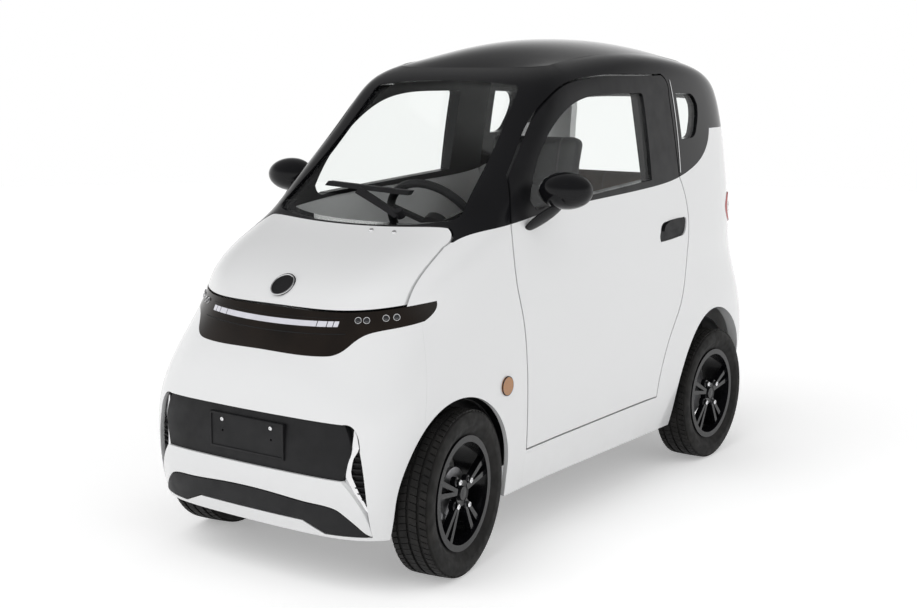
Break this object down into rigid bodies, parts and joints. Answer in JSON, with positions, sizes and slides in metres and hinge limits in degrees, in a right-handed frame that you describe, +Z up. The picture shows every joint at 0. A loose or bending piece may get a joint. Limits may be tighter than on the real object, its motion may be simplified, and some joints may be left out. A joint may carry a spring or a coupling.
{
  "type": "electric microcar",
  "caption": "Two-door electric microcar with a tall cabin, narrow lamp bar, opening doors, hood and tailgate, and steering front wheels.",
  "frame": {"origin": "on the ground below the middle of the car's length and width", "axes": "-Y towards the front, +X towards the car's left, +Z up"},
  "size_m": [1.288, 2.4396, 1.5744],
  "materials": {
    "body_paint": "gloss white paint",
    "roof_paint": "gloss black paint",
    "window_glass": "clear window glass",
    "dark_trim": "grained black plastic",
    "lamp_lens": "smoked clear lamp cover",
    "amber_lens": "amber lamp lens",
    "red_lens": "red lamp lens",
    "bright_trim": "gloss white blade",
    "tyre_rubber": "black rubber",
    "rim_paint": "gloss black alloy",
    "chassis_paint": "black chassis paint",
    "running_gear_steel": "bare and oiled steel",
    "battery_case": "dark grey moulded case",
    "dash_plastic": "dark grained plastic",
    "seat_leather": "black stitched upholstery"
  },
  "bodies": {
    "root": {"fender_left": "body_paint", "fender_right": "body_paint", "front_bumper": "body_paint", "body_side_left": "body_paint", "body_side_right": "body_paint", "rear_bumper": "body_paint", "cabin_frame": "roof_paint", "roof_panel": "roof_paint", "windscreen": "window_glass", "quarter_glass": "window_glass", "front_lip": "dark_trim", "front_grille": "dark_trim", "plate_holder_front": "dark_trim", "plate_holder_rear": "dark_trim", "wheel_liners": "dark_trim", "floor_pan": "dark_trim", "wiper": "dark_trim", "side_lamps": "amber_lens", "tail_lamps": "red_lens", "front_blade": "bright_trim", "lamp_bar": "lamp_lens", "chassis_frame": "chassis_paint", "front_suspension": "chassis_paint", "rear_axle": "running_gear_steel", "battery_pack": "battery_case", "dashboard": "dash_plastic", "steering_column": "dash_plastic", "driver_seat": "seat_leather", "rear_bench": "seat_leather"},
    "left_door": {"door_left": "body_paint", "door_frame_left": "roof_paint", "door_glass_left": "window_glass", "mirror_left": "roof_paint", "door_handle_left": "dark_trim"},
    "right_door": {"door_right": "body_paint", "door_frame_right": "roof_paint", "door_glass_right": "window_glass", "mirror_right": "roof_paint", "door_handle_right": "dark_trim"},
    "hood_lid": {"hood": "body_paint", "badge_disc": "dark_trim"},
    "tailgate_lid": {"tailgate": "body_paint", "rear_window": "window_glass"},
    "left_hub": {"knuckle_left": "running_gear_steel"},
    "right_hub": {"knuckle_right": "running_gear_steel"},
    "front_left_wheel": {"tyre_front_left": "tyre_rubber", "rim_front_left": "rim_paint"},
    "front_right_wheel": {"tyre_front_right": "tyre_rubber", "rim_front_right": "rim_paint"},
    "rear_left_wheel": {"tyre_rear_left": "tyre_rubber", "rim_rear_left": "rim_paint"},
    "rear_right_wheel": {"tyre_rear_right": "tyre_rubber", "rim_rear_right": "rim_paint"},
    "steering": {"steering_wheel": "dash_plastic"}
  },
  "joints": [
    {"name": "left_door_hinge", "type": "hinge", "parent": "root", "child": "left_door", "pos_m": [0.4885, -0.541, 0.7], "axis": [0, 0, -1], "range_deg": [0, 65]},
    {"name": "right_door_hinge", "type": "hinge", "parent": "root", "child": "right_door", "pos_m": [-0.4885, -0.541, 0.7], "axis": [0, 0, 1], "range_deg": [0, 65]},
    {"name": "hood_hinge", "type": "hinge", "parent": "root", "child": "hood_lid", "pos_m": [0, -0.7, 1.016], "axis": [-1, 0, 0], "range_deg": [0, 55]},
    {"name": "tailgate_hinge", "type": "hinge", "parent": "root", "child": "tailgate_lid", "pos_m": [0, 1.118, 1.412], "axis": [1, 0, 0], "range_deg": [0, 75]},
    {"name": "left_steer", "type": "hinge", "parent": "root", "child": "left_hub", "pos_m": [0.4315, -0.8375, 0.247], "axis": [0, 0, 1], "range_deg": [-38.4, 21.6]},
    {"name": "right_steer", "type": "hinge", "parent": "root", "child": "right_hub", "pos_m": [-0.4315, -0.8375, 0.247], "axis": [0, 0, 1], "range_deg": [-38.4, 21.6]},
    {"name": "steering_wheel_turn", "type": "hinge", "parent": "root", "child": "steering", "pos_m": [0, -0.3005, 0.948], "axis": [0, 0.848, 0.5299], "range_deg": [-462, 261]},
    {"name": "front_left_spin", "type": "hinge", "parent": "left_hub", "child": "front_left_wheel", "pos_m": [0.44139, -0.83604, 0.247], "axis": [0.9893, 0.1461, 0], "continuous": true},
    {"name": "front_right_spin", "type": "hinge", "parent": "right_hub", "child": "front_right_wheel", "pos_m": [-0.44139, -0.83896, 0.247], "axis": [0.9893, 0.1461, 0], "continuous": true},
    {"name": "rear_left_spin", "type": "hinge", "parent": "root", "child": "rear_left_wheel", "pos_m": [0.4415, 0.8035, 0.247], "axis": [1, 0, 0], "continuous": true},
    {"name": "rear_right_spin", "type": "hinge", "parent": "root", "child": "rear_right_wheel", "pos_m": [-0.4415, 0.8035, 0.247], "axis": [1, 0, 0], "continuous": true}
  ],
  "couplings": [
    {"joint": "right_steer", "follows": "left_steer", "ratio": 1},
    {"joint": "steering_wheel_turn", "follows": "left_steer", "ratio": 12}
  ]
}
